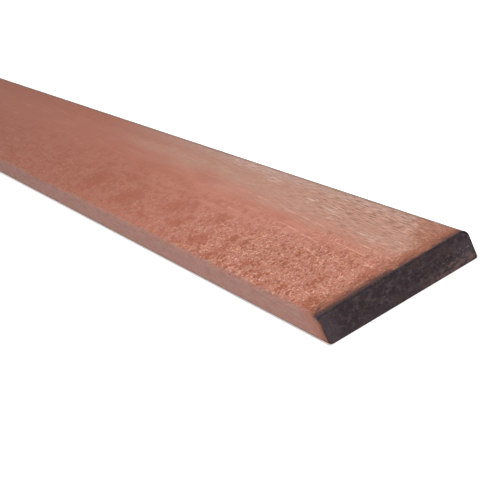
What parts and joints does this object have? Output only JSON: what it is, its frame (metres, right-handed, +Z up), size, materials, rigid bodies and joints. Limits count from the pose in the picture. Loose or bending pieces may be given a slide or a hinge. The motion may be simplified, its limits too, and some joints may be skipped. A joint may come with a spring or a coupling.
{
  "type": "cover strip",
  "caption": "Long flat strip of rough-sawn hardwood with a rectangular section and dark sealed ends, nailed over a joint or gap to cover it.",
  "frame": {"origin": "centre of the bounding box's base, on the strip's lower wide face, halfway along it", "axes": "+Y along the strip's length, away from the pictured end, +X across its width, +Z up through its thickness"},
  "size_m": [0.07, 1.8, 0.013],
  "materials": {
    "sawn_hardwood": "rough-sawn reddish hardwood"
  },
  "bodies": {
    "root": {"cover_strip": "sawn_hardwood"}
  },
  "joints": []
}
